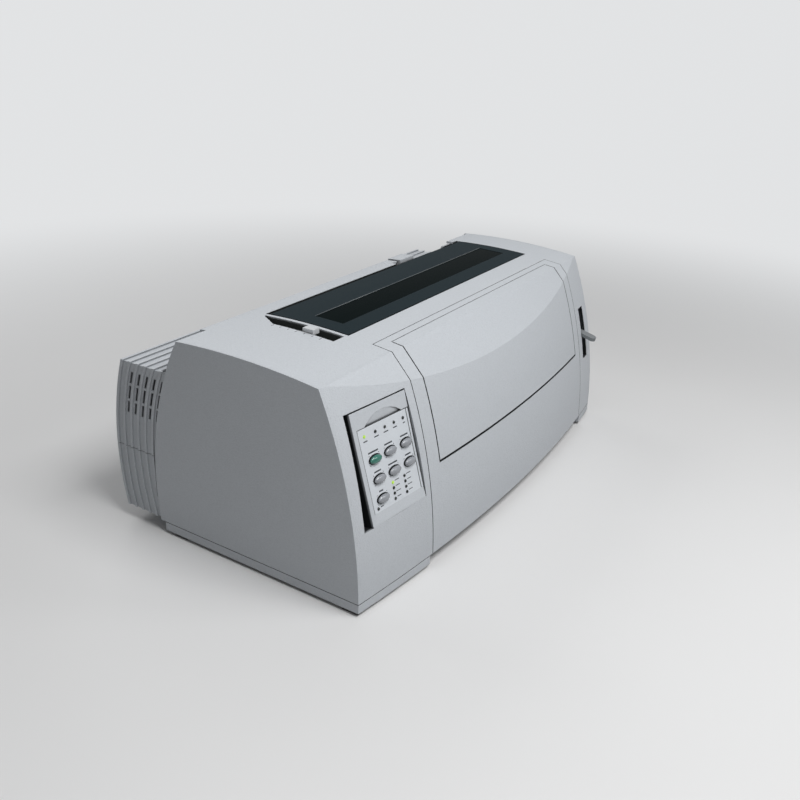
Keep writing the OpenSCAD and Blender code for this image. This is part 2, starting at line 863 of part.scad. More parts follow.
// Left tractor with its middle at x = 0; the right one is its mirror image
module tractor_body() {
  along_x(-8, 0) difference() {
    bar(tractor, tractor_rod_at, 25);
    translate(tractor) circle(r = 6.2);
    translate(tractor_rod_at) circle(r = 4 + fit);
  }
  // pin belt
  along_x(-0.5, 12) difference() {
    bar(tractor, tractor_rod_at, 27);
    bar(tractor, tractor_rod_at, 23.8);
  }
  for (y = [278, 290.7, 303.4])
    post([6, y], 171, 173.7, 1.6);
  // ears for the lid's pin
  for (y = [270, 308])
    along_y(y, y + 6) difference() {
      union() {
        translate([-14, 165]) square([6.5, 8]);
        translate(tractor_hinge) circle(r = 3);
      }
      translate(tractor_hinge) circle(r = 1.5 + fit);
    }
}
module tractor_lid() {
  along_y(266, 312) polygon([[-7, 175.5], [14, 175.5], [14, 178], [-7, 178]]);
  along_y(276.6, 307.4) {
    translate(tractor_hinge) circle(r = 3);
    polygon([[-11, 174], [-6, 175.5], [-6, 178], [-11, 176]]);
  }
  along_y(270.5, 313.5) translate(tractor_hinge) circle(r = 1.5);
}
module sprocket() along_x(1, 11) translate(tractor) difference() {
  circle(r = 11.5);
  square(square_w + 0.4, center = true);
}

module left_tractor() color(black) place() translate([left_tractor_x, 0, 0]) tractor_body();
module left_tractor_lid() color(black) place() translate([left_tractor_x, 0, 0]) tractor_lid();
module left_sprocket() color(white) place() translate([left_tractor_x, 0, 0]) sprocket();
module right_tractor() color(black) place() translate([right_tractor_x, 0, 0]) mirror([1, 0, 0])
  tractor_body();
module right_tractor_lid() color(black) place() translate([right_tractor_x, 0, 0]) mirror([1, 0, 0])
  tractor_lid();
module right_sprocket() color(white) place() translate([right_tractor_x, 0, 0]) mirror([1, 0, 0])
  sprocket();

// ---- carriage ----

module carriage() color(black) place() translate([carriage_x, 0, 0]) difference() {
  union() {
    block([-24, 94, 134.6], [24, 146, 158]);
    block([-12, 87, 150], [12, 95, 163 - gap]);
  }
  rod_x(-30, 30, rod, rod_r + fit);
  for (s = [-1, 1])
    block([-30, belt_y + s * (belt_in + belt_out) / 2 - 1, belt_z - 0.5],
      [30, belt_y + s * (belt_in + belt_out) / 2 + 1, belt_z + belt_w + 0.5]);
  translate([0, 103.8, head_z]) rotate([-90, 0, 0]) cylinder(r = head_r + 0.05, h = 34.4);
}

module print_head() color(steel) place() translate([carriage_x, 0, 0]) {
  difference() {
    translate([0, 104, head_z]) rotate([-90, 0, 0]) cylinder(r = head_r, h = 34);
    for (y = [110:6:128])
      difference() {
        block([-25, y, 150], [25, y + 2.6, 200]);
        translate([0, y - 1, head_z]) rotate([-90, 0, 0]) cylinder(r = head_r - 4, h = 5);
        block([-25, y - 1, 149], [25, y + 4, 159]);
      }
  }
  block([-7, 137, 159], [7, nozzle_y - 2, 185]);
  block([-3, 137, 166], [3, nozzle_y - 2 + 1.2, 178]);
}

module motor_pulley() color(steel) place() {
  post([pulley_l, belt_y], 120, 148.5, 2.5);
  pulley([pulley_l, belt_y], 0);
}
module idler_pulley() color(steel) place() pulley([pulley_e, belt_y], 3 + fit);
// A flanged belt pulley
module pulley(at, bore) difference() {
  union() {
    post(at, 137.5, 148.5, 7.4);
    post(at, 137.5, 139.6, 10);
    post(at, 146.4, 148.5, 10);
  }
  post(at, 130, 150, bore);
}

module ribbon_knob() color(white) place() {
  post(ribbon_spindle, 206, 215, 3);
  difference() {
    post(ribbon_spindle, 214.3, 219, 9);
    for (i = [0:11])
      translate([ribbon_spindle[0] + 9.4 * cos(i * 30), ribbon_spindle[1] + 9.4 * sin(i * 30), 214])
        cylinder(r = 1.2, h = 6, $fn = 24);
  }
}

base_pan();
feet();
left_side_panel();
right_side_panel();
top_case();
left_front_case();
right_front_case();
rear_case();
operator_panel();
indicator_lights();
circuit_boards();
left_frame();
right_frame();
cross_members();
guide_rods();
paper_guides();
paper_chute();
motors();
carriage_belt();
platen_bushes();
ribbon_cartridge();
power_supply();
power_inlet();
data_connector();
frame_screws();
front_cover();
front_door();
ribbon_cover();
cover_window();
rear_cover();
paper_edge_guide();
green_button();
top_middle_button();
top_right_button();
centre_left_button();
centre_middle_button();
centre_right_button();
lower_left_button();
thickness_lever();
feed_lever();
power_switch();
platen_roller();
platen_shaft();
platen_gear();
advance_knob();
pinch_rollers();
idler_gear();
feed_pinion();
tractor_shaft();
left_tractor();
left_tractor_lid();
left_sprocket();
right_tractor();
right_tractor_lid();
right_sprocket();
carriage();
print_head();
motor_pulley();
idler_pulley();
ribbon_knob();
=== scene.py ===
# %% [markdown]
# # A wide dot matrix printer
# The solids of the printer come from a CAD model, so every part already has its real size and
# place. What is left for Blender is what the eye judges: the grain of the moulded case, the
# smoked cover, the shaped keys and lamps of the operator panel, soft edges, light and a camera.
# Lengths are in metres. Most numbers below are written in millimetres and turned by one helper.

import math

import bmesh
import bpy
from mathutils import Matrix, Vector


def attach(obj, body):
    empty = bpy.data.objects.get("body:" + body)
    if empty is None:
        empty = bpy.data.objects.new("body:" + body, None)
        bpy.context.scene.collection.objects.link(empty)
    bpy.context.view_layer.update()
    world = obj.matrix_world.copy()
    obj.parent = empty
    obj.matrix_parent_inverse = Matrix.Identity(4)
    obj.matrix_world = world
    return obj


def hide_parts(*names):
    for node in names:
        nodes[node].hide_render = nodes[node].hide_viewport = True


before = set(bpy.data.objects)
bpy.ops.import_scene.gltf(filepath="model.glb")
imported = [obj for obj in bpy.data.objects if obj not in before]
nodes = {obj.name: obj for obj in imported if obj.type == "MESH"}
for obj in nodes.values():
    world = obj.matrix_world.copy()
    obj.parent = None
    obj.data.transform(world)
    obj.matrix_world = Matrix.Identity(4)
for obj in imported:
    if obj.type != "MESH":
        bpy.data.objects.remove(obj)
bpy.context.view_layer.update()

# %% [markdown]
# ## Where things are
# The case was drawn from the front foot of its side panel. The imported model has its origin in
# the middle of the footprint, so each point moves by the same amount. The operator panel turns a
# little to the left and leans back, and it is easier to draw on it flat and place the result
# with one matrix than to work with slanted numbers.

# %% Places
def case_point(x, y, z):
    return Vector(((x - 8) / 1000, (y - 158.5) / 1000, z / 1000))


PANEL = (Matrix.Translation(case_point(-238, 12.2, 148.2))
         @ Matrix.Rotation(math.radians(-6.4), 4, "Z")
         @ Matrix.Rotation(math.radians(90 - 14.1), 4, "X"))
IN_CASE = Matrix.Translation(case_point(0, 0, 0))
# Edges of the moving covers in the case, in millimetres
COVER_X = (-185, 250)
DOOR_X = (-163.6, 228.6)
DOOR_BOTTOM = 119
LID_Y = (102.7, 211.2)
# The case's top is an arc: its radius, and the y and z of its centre
TOP_R, TOP_Y, TOP_Z = 885, 166, -639


def top_height(y):
    """Height of the case's curved top at a distance y from the front foot."""
    return TOP_Z + math.sqrt(TOP_R ** 2 - (y - TOP_Y) ** 2)


print("panel middle", PANEL.translation, "top of the case", round(top_height(TOP_Y), 1), "mm")

# %% [markdown]
# ## The camera
# The photograph was taken from the left, a little above the printer. The camera's place and
# turn were worked out from the corners and edges of the case, so the render can be laid over the
# photograph. A camera looks along its own -Z with +Y up, so the matrix below holds the picture's
# right, up and backward directions.

# %% Camera
yaw, down, tilt = (math.radians(a) for a in (58.156, 24.037, -1.982))
ahead = Vector((math.sin(yaw) * math.cos(down), math.cos(yaw) * math.cos(down), -math.sin(down)))
level = Vector((math.cos(yaw), -math.sin(yaw), 0))
below = ahead.cross(level)
right = math.cos(tilt) * level + math.sin(tilt) * below
upward = math.sin(tilt) * level - math.cos(tilt) * below
eye = bpy.data.cameras.new("photo_view")
eye.sensor_width = 36
eye.lens = 39.45
eye.clip_end = 200
camera = bpy.data.objects.new("photo_view", eye)
bpy.context.scene.collection.objects.link(camera)
camera.matrix_world = Matrix.Translation((-0.90607, -0.56585, 0.56112)) @ Matrix(
    (right, upward, -ahead)).transposed().to_4x4()
bpy.context.scene.camera = camera
print("camera looks along", [round(v, 3) for v in ahead])

# %% [markdown]
# ## Writing materials as sums
# A material is a small network of nodes. Wiring each node by hand is slow to write and hard to
# read, so one class wraps a socket: arithmetic on it adds Math nodes, and one method makes any
# other node. The settings of a node are set first, because some of them change its sockets.

# %% A wrapped socket
class Wire:
    def __init__(self, socket):
        self.socket = socket
        self.tree = socket.id_data

    def make(self, kind, settings=None, inputs=None, out=0):
        node = self.tree.nodes.new(kind)
        for key, value in (settings or {}).items():
            if key == "stops":
                while len(node.color_ramp.elements) < len(value):
                    node.color_ramp.elements.new(0.5)
                for stop, (place, shade) in zip(node.color_ramp.elements, value):
                    stop.position = place
                    stop.color = shade if len(shade) == 4 else (*shade, 1)
            else:
                setattr(node, key, value)
        for key, value in (inputs or {}).items():
            if isinstance(value, Wire):
                self.tree.links.new(value.socket, node.inputs[key])
            else:
                node.inputs[key].default_value = value
        return Wire(node.outputs[out])

    def sum(self, operation, *values):
        return self.make("ShaderNodeMath", {"operation": operation}, dict(enumerate(values)))

    def __add__(self, other):
        return self.sum("ADD", self, other)

    def __sub__(self, other):
        return self.sum("SUBTRACT", self, other)

    def __rsub__(self, other):
        return self.sum("SUBTRACT", other, self)

    def __mul__(self, other):
        return self.sum("MULTIPLY", self, other)

    def __gt__(self, other):
        return self.sum("GREATER_THAN", self, other)

    def __lt__(self, other):
        return self.sum("LESS_THAN", self, other)

    def part(self, axis):
        """One coordinate of a vector."""
        return self.make("ShaderNodeSeparateXYZ", {}, {0: self}, "XYZ".index(axis))

    def blend(self, low, high):
        """A colour between two, mixed by this value."""
        return self.make("ShaderNodeMix", {"data_type": "RGBA"}, {0: self, 6: low, 7: high}, 2)

    def noise(self, scale, detail=2.0, rough=0.5):
        return self.make("ShaderNodeTexNoise", {}, {"Vector": self, "Scale": scale,
                                                    "Detail": detail, "Roughness": rough})

    def stretch(self, x, y, z):
        return self.make("ShaderNodeMapping", {}, {0: self, 3: (x, y, z)})

    def ramp(self, low, high):
        """0 below one value, 1 above another, a straight line between."""
        return self.make("ShaderNodeMapRange", {"clamp": True}, {0: self, 1: low, 2: high})

    def between(self, low, high):
        return (self > low) * (self < high)


print("sockets can be added, subtracted, multiplied and compared")

# %% [markdown]
# ## A finish
# Every finish begins alike: a principled shader whose colour, roughness and surface are driven by
# where a point is on its own piece. The edges of real mouldings are never sharp. Rounding each
# edge of the meshes would cost many faces, so a Bevel node bends the shading instead. Where its
# normal differs from the true one there is an edge, and edges are also where plastic polishes and
# paint wears, so the same comparison gives a mask for wear. Narrow gaps see little light; an
# Ambient Occlusion node finds them, and a finish can have that shade painted into its colour there.

# %% Start a finish
def shade(colour, factor):
    """A darker or lighter version of a colour."""
    return (*(min(1, c * factor) for c in colour), 1)


class Finish:
    def __init__(self, name, edge=0.0005, metallic=0.0, **constants):
        self.material = bpy.data.materials.new(name)
        self.material.use_nodes = True
        tree = self.material.node_tree
        self.shader = tree.nodes["Principled BSDF"]
        self.shader.inputs["Metallic"].default_value = metallic
        for key, value in constants.items():
            self.shader.inputs[key.replace("_", " ")].default_value = value
        self.place = Wire(tree.nodes.new("ShaderNodeTexCoord").outputs["Object"])
        self.true_normal = Wire(tree.nodes.new("ShaderNodeNewGeometry").outputs["Normal"])
        self.round_normal = self.place.make("ShaderNodeBevel", {"samples": 4}, {"Radius": edge})
        facing = self.place.make("ShaderNodeVectorMath", {"operation": "DOT_PRODUCT"},
                                 {0: self.true_normal, 1: self.round_normal}, 1)
        self.worn = (1 - facing).ramp(0.004, 0.12)

    def painted_gap_shade(self, reach=0.007):
        """1 on open surfaces, 0 deep in a seam: the mask for shade painted into gaps."""
        node = self.place.make("ShaderNodeAmbientOcclusion", {"samples": 8}, {"Distance": reach}, 1)
        return node.ramp(0.4, 0.92)

    def now(self, socket):
        """What is wired to a socket so far."""
        return Wire(self.shader.inputs[socket].links[0].from_socket)

    def set(self, socket, wire):
        self.material.node_tree.links.new(wire.socket, self.shader.inputs[socket])

    def relief(self, height, depth):
        """Bumps of a depth in metres on top of the rounded edges."""
        self.set("Normal", self.place.make("ShaderNodeBump", {}, {
            "Height": height, "Distance": depth, "Strength": 1.0, "Normal": self.round_normal}))


def dress(finish, *names):
    """Gives solids or pieces a finish."""
    for name in names:
        obj = nodes[name] if isinstance(name, str) else name
        obj.data.materials.clear()
        obj.data.materials.append(finish.material)
        for face in obj.data.polygons:
            face.material_index = 0


print("a finish starts with a colour, a roughness and rounded edges")

# %% [markdown]
# ## The case plastic
# The case is injection-moulded plastic in a cool pearl white. The mould was etched, so it has a
# fine leathery grain that catches light as tiny speckles. The colour is nearly even: a slow
# cloudiness of three per cent, and edges that hands have rubbed a little lighter. A noise and a
# pattern of cells, of different size, make the grain; a single one looks like static. The seams
# of the case are under a millimetre wide, and shade painted into them makes them read as dark
# lines. Between the ribs of the rear housing the painted shade is gentler, so its two pieces have
# a finish of their own.

# %% Case plastic
def moulded(name, colour, rough, grain, depth, edge=0.0006, cloud=0.03, painted_seam_shade=1.0, **constants):
    made = Finish(name, edge, **constants)
    clouds = made.place.noise(9, 4)
    flecks = made.place.noise(grain * 0.45, 3, 0.6)
    pebbles = made.place.make("ShaderNodeTexVoronoi", {"feature": "SMOOTH_F1"},
                              {"Vector": made.place, "Scale": grain, "Smoothness": 0.6})
    body = clouds.blend(shade(colour, 1 - cloud), shade(colour, 1 + cloud))
    speckled = (flecks * 0.5 + pebbles * 0.5).ramp(0.2, 0.75).blend(body, shade(colour, 0.9))
    skin = (made.worn * 0.35).blend(speckled, shade(colour, 1.08))
    # Painted shade: deep in a seam the colour falls to a share of itself.
    made.set("Base Color", made.painted_gap_shade().blend(shade(colour, painted_seam_shade), skin) if painted_seam_shade < 1 else skin)
    made.set("Roughness", clouds * 0.06 + flecks * 0.08 - made.worn * 0.08 + (rough - 0.07))
    made.relief(pebbles + flecks * 0.6, depth)
    return made


PEARL = (0.585, 0.615, 0.65)
PAINTED_SEAM_SHADE = 0.06


def case_finish(name, painted_seam_shade=PAINTED_SEAM_SHADE):
    """Pearl plastic with shade painted into the seams, darkened there to a share of its colour."""
    return moulded(name, PEARL, 0.52, 760, 0.00022, painted_seam_shade=painted_seam_shade)


case_plastic = case_finish("pearl_white_plastic")
dress(case_plastic, "base_pan", "left_side_panel", "right_side_panel", "paper_edge_guide")
# Between the ribs of the rear housing the painted shade is gentler.
dress(case_finish("ribbed_rear_plastic", 0.5), "rear_case", "rear_cover")
print("case plastic:", len(case_plastic.material.node_tree.nodes), "nodes")

# %% [markdown]
# ## Painted shade in the wells
# The photograph shows four openings of the case as dark: the slots of the thickness lever, the
# feed lever and the paper, and the deep groove at the left of the operator panel. Shade is painted
# near black on their walls inside, and on the edges of the front cover and its door, whose gaps are
# the darkest lines of the front. A mask made from the point's place in the case tells walls from
# skin.

# %% Painted shade on walls and edges
# The openings, each as two ranges in millimetres
LEVER_WELL_X, LEVER_WELL_Y = (-211.4, -188.6), (101, 215)
FEED_SLOT_X, FEED_SLOT_Z = (267.2, 286.8), (99.7, 172.8)
GROOVE_ACROSS, GROOVE_ALONG = (-54.6, -36), (-61, 62.5)


# Paints shade: the colour turns near black, or to the given colour, where the mask is 1.
def paint_shade(finish, mask, colour=(0.012, 0.014, 0.015)):
    finish.set("Base Color", mask.blend(finish.now("Base Color"), (*colour, 1)))


def spot_in(finish, place):
    """A point's coordinates in millimetres: in the case, or across, up and out of the panel."""
    spot = finish.place.make("ShaderNodeMapping", {"vector_type": "TEXTURE"}, {
        0: finish.place, 1: place.translation, 2: place.to_euler(), 3: (0.001, 0.001, 0.001)})
    return [spot.part(a) for a in "XYZ"]


top_plastic = case_finish("top_case_plastic")
cx, cy, cz = spot_in(top_plastic, IN_CASE)
circle = TOP_R ** 2 - (cy - TOP_Y) * (cy - TOP_Y)
arch = circle.sum("SQRT", circle) + TOP_Z
# Painted shade down in the thickness lever's well, grey-dark, and near black in the paper exit
# slot.
lever_well_shade = cx.between(*LEVER_WELL_X) * cy.between(*LEVER_WELL_Y) * (arch - cz).ramp(0.7, 2.2)
paint_shade(top_plastic, lever_well_shade, (0.035, 0.04, 0.038))
exit_slot_shade = (cx.between(COVER_X[0] - 1.4, COVER_X[1] + 1.2)
             * cy.between(LID_Y[0] - 2.7, LID_Y[1] + 5.8) * (arch - cz > 0.5))
paint_shade(top_plastic, exit_slot_shade)
dress(top_plastic, "top_case")

right_plastic = case_finish("right_front_plastic")
cx, cy, cz = spot_in(right_plastic, IN_CASE)
# Painted shade near black inside the feed lever's slot.
paint_shade(right_plastic, cx.between(*FEED_SLOT_X) * cz.between(*FEED_SLOT_Z) * (cy > 3))
dress(right_plastic, "right_front_case")

door_plastic = case_finish("front_door_plastic")
cx, _, cz = spot_in(door_plastic, IN_CASE)
# Painted shade near black on the door's side and bottom edges, where its gaps are.
door_face = cx.between(DOOR_X[0] + 0.4, DOOR_X[1] - 0.3) * (cz > DOOR_BOTTOM + 0.2)
paint_shade(door_plastic, 1 - door_face)
dress(door_plastic, "front_door")

cover_plastic = case_finish("front_cover_plastic")
cx, cy, cz = spot_in(cover_plastic, IN_CASE)
# Painted shade near black on the cover round the door's opening and on its outer side edges.
doorway_shade = cx.between(DOOR_X[0] - 1.4, DOOR_X[1] + 1.4) * (cz > DOOR_BOTTOM - 2.4) * (cy < 60)
paint_shade(cover_plastic, 1 - (1 - doorway_shade) * cx.between(COVER_X[0] + 0.3, COVER_X[1] - 0.3))
dress(cover_plastic, "front_cover")

left_plastic = case_finish("left_front_plastic")
across, along, out = spot_in(left_plastic, PANEL)
# Painted shade near black down in the groove left of the panel, fading out towards its rim.
groove = across.between(*GROOVE_ACROSS) * along.between(*GROOVE_ALONG)
paint_shade(left_plastic, groove * (1 - out.ramp(-4.5, -0.6)))
dress(left_plastic, "left_front_case")
print("five case parts have blackened walls or edges")

# %% [markdown]
# ## The operator panel's face
# The panel is the same plastic with a printed film laid in a shallow recess. The film is
# smoother and a little lighter. A hairline of painted shadow runs round its left and upper edge,
# and another beside its right edge, and shade is painted on the panel's left side down in the
# groove. It could be a separate sheet, but then the key holes would have to be cut twice. A mask
# made from the panel's own flat coordinates tints the recess instead. Towards the top both side
# edges of the panel lean a little to the left.

# %% Operator panel
FILM_SHADES = (shade(PEARL, 1.1), shade(PEARL, 1.18))
FILM_GRAIN = 420
FILM_ALONG, FILM_OUT = (-48, 42.05), (-1.0, -0.7)
LEFT_LEAN, RIGHT_LEAN = 0.0514, 0.0547
# The panel's seams get the same painted shade as the case.
panel_face = moulded("panel_plastic", PEARL, 0.46, 760, 0.00008, 0.0004, painted_seam_shade=PAINTED_SEAM_SHADE)
across, along, out = spot_in(panel_face, PANEL)
height = along - 0.1
from_left = across + 37.6 + height * LEFT_LEAN
in_film = (from_left > 0) * along.between(*FILM_ALONG) * out.between(*FILM_OUT)
fibres = panel_face.place.noise(FILM_GRAIN, 2)
film_colour = fibres.blend(*FILM_SHADES)
to_right = 41.5 - height * RIGHT_LEAN - across
# Painted shadow: a dark hairline along the film's left, upper and right edges.
hairline_shadow = in_film * (1 - (from_left > 1.3) * (along < 41) * (1 - to_right.between(2.8, 3.9)))
panel_face.set("Base Color", in_film.blend(panel_face.now("Base Color"), film_colour))
paint_shade(panel_face, hairline_shadow, (0.025, 0.028, 0.03))
# Painted shade near black on the panel's left side down in the groove, darker with depth.
groove_side_shade = (from_left < -5.35) * (1 - out.ramp(-3.5, -0.4))
paint_shade(panel_face, groove_side_shade)
dull = panel_face.now("Roughness")
panel_face.set("Roughness", in_film * (0.34 - dull) + dull)
dress(panel_face, "operator_panel")
print("panel:", len(panel_face.material.node_tree.nodes), "nodes")

# %% [markdown]
# ## The smoked cover
# The ribbon cover is tinted plastic: slate grey with a finely frosted surface round a polished,
# almost black window. Light hardly comes through either, so both are opaque here, and the
# difference is in the gloss. Shade is painted black on the outer edges of the cover, as dark as
# the gaps round it.
# Dust and fine wiping marks run along the window.

# %% Smoked cover and window
frosted = moulded("smoked_frosted_plastic", (0.017, 0.027, 0.032), 0.5, 1100, 0.00005,
                  0.0005, 0.08, IOR=1.07)
cx, cy, _ = spot_in(frosted, IN_CASE)
middle = cx.between(COVER_X[0] + 1.2, COVER_X[1] - 1.2) * cy.between(LID_Y[0] + 0.9, LID_Y[1] - 1)
# Painted shade, nearly black, on the outer edges of the cover.
paint_shade(frosted, 1 - middle, (0.003, 0.004, 0.004))
dress(frosted, "ribbon_cover")

window = Finish("dark_polished_plastic", 0.0004, IOR=1.03)
wipes = window.place.stretch(4, 160, 160).noise(6, 5, 0.65)
dust = window.place.noise(700, 2, 0.7).ramp(0.62, 0.8)
window.set("Base Color", (wipes * 0.5 + dust * 0.3).blend((0.001, 0.004, 0.004, 1),
                                                          (0.004, 0.009, 0.010, 1)))
window.set("Roughness", wipes * 0.12 + dust * 0.2 + 0.16)
window.relief(wipes, 0.00001)
dress(window, "cover_window")
print("ribbon cover: frosted plastic with black edges, and a polished window")

# %% [markdown]
# ## Black plastic, rubber and metal inside
# Inside the printer nearly everything is black engineering plastic, zinc-plated sheet steel or
# ground steel rod. Zinc plating has soft crystals and a rolling direction; ground rod has fine
# rings round its axis, which for rods along X is a noise squeezed along X.

# %% Plastics inside
dark = moulded("black_engineering_plastic", (0.017, 0.018, 0.020), 0.48, 900, 0.00006, 0.0004, 0.15)
dress(dark, "paper_chute", "ribbon_cartridge", "power_inlet", "data_connector", "left_tractor",
      "left_tractor_lid", "right_tractor", "right_tractor_lid", "carriage", "advance_knob",
      "power_switch")
acetal = moulded("natural_acetal", (0.70, 0.68, 0.62), 0.4, 500, 0.00003, 0.0002, 0.05)
dress(acetal, "platen_gear", "idler_gear", "left_sprocket", "right_sprocket", "ribbon_knob")
dress(moulded("lever_pale_plastic", (0.62, 0.64, 0.66), 0.44, 800, 0.00006, 0.0016, 0.04),
      "thickness_lever")
dress(moulded("lever_grey_plastic", (0.19, 0.205, 0.215), 0.4, 800, 0.00006, 0.0006, 0.06),
      "feed_lever")
print("black, white, pale and grey plastic for the parts inside and the levers")


# %% Rubber
def rubbery(name, colour, grain):
    made = Finish(name, 0.0004)
    ground = made.place.stretch(grain, 60, 60).noise(9, 4, 0.7)
    shine = made.place.noise(30, 3)
    made.set("Base Color", (ground * 0.6 + shine * 0.4).blend(shade(colour, 0.7),
                                                              shade(colour, 1.5)))
    made.set("Roughness", 0.9 - shine * 0.25)
    made.relief(ground, 0.00004)
    return made


dress(rubbery("ground_platen_rubber", (0.028, 0.028, 0.029), 260), "platen_roller", "pinch_rollers")
dress(rubbery("foot_rubber", (0.022, 0.022, 0.024), 90), "feet")
belt = rubbery("ribbed_belt_rubber", (0.02, 0.02, 0.02), 60)
BELT_PITCH = 0.00203
phase = belt.place.part("X") * (2 * math.pi / BELT_PITCH)
belt.relief(phase.sum("SINE", phase) * 0.5 + 0.5, 0.0003)
dress(belt, "carriage_belt")
print("rubber on the platen, the rollers, the feet and the belt")


# %% Metals
def metal(name, colour, rough, squeeze, scale, depth, edge=0.0002):
    made = Finish(name, edge, metallic=1.0)
    lines = made.place.stretch(*squeeze).noise(scale, 4, 0.6)
    stain = made.place.noise(24, 3)
    made.set("Base Color", (lines * 0.5 + stain * 0.5).blend(shade(colour, 0.82),
                                                             shade(colour, 1.12)))
    made.set("Roughness", lines * 0.14 + stain * 0.14 - made.worn * 0.1 + (rough - 0.1))
    made.relief(lines, depth)
    return made


zinc = metal("zinc_plated_sheet", (0.50, 0.52, 0.53), 0.42, (1, 0.12, 1), 300, 0.00002)
dress(zinc, "left_frame", "right_frame", "cross_members", "paper_guides", "power_supply")
ground_steel = metal("ground_steel", (0.58, 0.59, 0.60), 0.24, (12, 1, 1), 160, 0.00001)
dress(ground_steel, "guide_rods", "frame_screws", "platen_shaft", "tractor_shaft", "motor_pulley",
      "idler_pulley")
dress(metal("turned_brass", (0.62, 0.44, 0.20), 0.3, (14, 1, 1), 200, 0.00001), "platen_bushes",
      "feed_pinion")
dress(metal("cast_head", (0.20, 0.205, 0.21), 0.55, (1, 1, 1), 900, 0.00006), "print_head")
motor = moulded("motor_paint", (0.02, 0.021, 0.023), 0.34, 420, 0.00003, 0.0004, 0.1)
dress(motor, "motors")
print("four metals and the motors' paint")

# %% [markdown]
# ## The circuit boards
# A board is green solder mask over copper tracks, which show as slightly paler, raised lines.
# Drawing real tracks would be wasted on a hidden part. A brick texture broken up by noise gives
# lines that run straight and turn at right angles, which is what the eye expects.

# %% Circuit boards
board = Finish("solder_mask", 0.0002)
runs = board.place.make("ShaderNodeTexBrick", {"offset": 0.37, "squash": 0.6}, {
    "Vector": board.place, "Scale": 150, "Mortar Size": 0.09, "Color1": (0, 0, 0, 1),
    "Color2": (0, 0, 0, 1), "Mortar": (1, 1, 1, 1)}, 1)
patch = board.place.noise(60, 2).ramp(0.45, 0.55)
board.set("Base Color", (runs * patch).blend((0.010, 0.075, 0.032, 1), (0.04, 0.17, 0.075, 1)))
board.set("Roughness", 0.42 - runs * patch * 0.12)
board.relief(runs * patch, 0.00003)
dress(board, "circuit_boards")
print("boards: tracks under solder mask")

# %% [markdown]
# ## The keys
# Seven oval keys stand in the panel, one green and six grey. Each stands nearly four millimetres
# proud, with a glossy crown that is domed like a pebble; its short sides are painted near black
# as shade. A foot hidden under the panel stops it falling out. The CAD keys have flat tops, so
# each is replaced by one with a proper crown: every ring of its mesh is an ellipse, and the
# crown's rings shrink along an arc.
# The printed film ends in a smooth collar round each key, which hides the coarser hole below it.

# %% Mesh helpers
def ellipse(width, height, z, count=56):
    turn = [2 * math.pi * i / count for i in range(count)]
    return [(width / 2 * math.cos(a), height / 2 * math.sin(a), z) for a in turn]


def stack(name, rings, place, body, closed=True):
    """A piece from rings of (x, y, z) points in millimetres, each joined to the next.

    A closed piece has both ends filled; the last ring of any other joins the first."""
    mesh = bmesh.new()
    rows = [[mesh.verts.new(Vector(p) / 1000) for p in ring] for ring in rings]
    for low, high in zip(rows, rows[1:] if closed else rows[1:] + rows[:1]):
        for i in range(len(low)):
            k = (i + 1) % len(low)
            mesh.faces.new((low[i], low[k], high[k], high[i]))
    if closed:
        mesh.faces.new(rows[0][::-1])
        mesh.faces.new(rows[-1])
    bmesh.ops.recalc_face_normals(mesh, faces=mesh.faces)
    return settle(name, mesh, place, body)


def settle(name, mesh, place, body):
    data = bpy.data.meshes.new(name)
    mesh.to_mesh(data)
    mesh.free()
    piece = bpy.data.objects.new(name, data)
    bpy.context.scene.collection.objects.link(piece)
    piece.matrix_world = place
    for face in data.polygons:
        face.use_smooth = True
    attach(piece, body)
    return piece


def flat_shaded(piece):
    for face in piece.data.polygons:
        face.use_smooth = False
    return piece


print("pieces are built from rings of points")

# %% Key finishes
def key_plastic(name, colour):
    made = Finish(name, 0.0003, Coat_Roughness=0.12)
    clouds = made.place.noise(160, 3)
    grain = made.place.noise(2600, 2)
    crown = (clouds * 0.7 + grain * 0.3).blend(shade(colour, 0.88), shade(colour, 1.14))
    on_crown = (made.place.part("Z") * 1000).ramp(0.75, 1.1)
    # Below the crown the key is painted near black: painted shade on its sides.
    made.set("Base Color", on_crown.blend((0.008, 0.009, 0.010, 1), crown))
    made.set("Roughness", clouds * 0.06 + grain * 0.05 + 0.15)
    made.set("Coat Weight", on_crown * (0.9 - clouds * 0.3))
    made.relief(grain, 0.00001)
    return made


green_plastic = key_plastic("green_key_plastic", (0.003, 0.15, 0.105))
grey_plastic = key_plastic("grey_key_plastic", (0.27, 0.285, 0.31))
print("two key plastics, dark below the crown")

# %% Make the keys
KEY_W, KEY_H = 17.6, 8.8
CROWN_Z, CROWN_H = 0.9, 2.9
# How far each ring of the foot and sides is set out from the key's edge, and its height
FOOT = [(-0.2, -6.5), (0, -6.3), (0, -5.0), (0.9, -5.0), (1, -4.9), (1, -3.5), (0.9, -3.4),
        (0, -3.4), (0, -0.6), (-0.1, 0.6), (-0.2, CROWN_Z)]
ARC = [math.radians(a) for a in (8, 18, 28, 38, 48, 58, 68, 78, 86)]
KEYS = {"green_button": (-20.8, 6.4), "top_middle_button": (2.6, 6.9),
        "top_right_button": (27.6, 7.1), "centre_left_button": (-19.3, -14.9),
        "centre_middle_button": (4.2, -14.8), "centre_right_button": (28.8, -14.2),
        "lower_left_button": (-19.2, -35.9)}
for name, (kx, ky) in KEYS.items():
    rings = [ellipse(KEY_W + 2 * grow, KEY_H + 2 * grow, z) for grow, z in FOOT]
    rings += [ellipse((KEY_W - 0.4) * math.cos(a), (KEY_H - 0.4) * math.cos(a),
                      CROWN_Z + CROWN_H * math.sin(a)) for a in ARC]
    green = name == "green_button"
    place = PANEL @ Matrix.Translation((kx / 1000, ky / 1000, 0))
    key = stack(name.replace("button", "key"), rings, place, name)
    dress(green_plastic if green else grey_plastic, key)
    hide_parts(name)
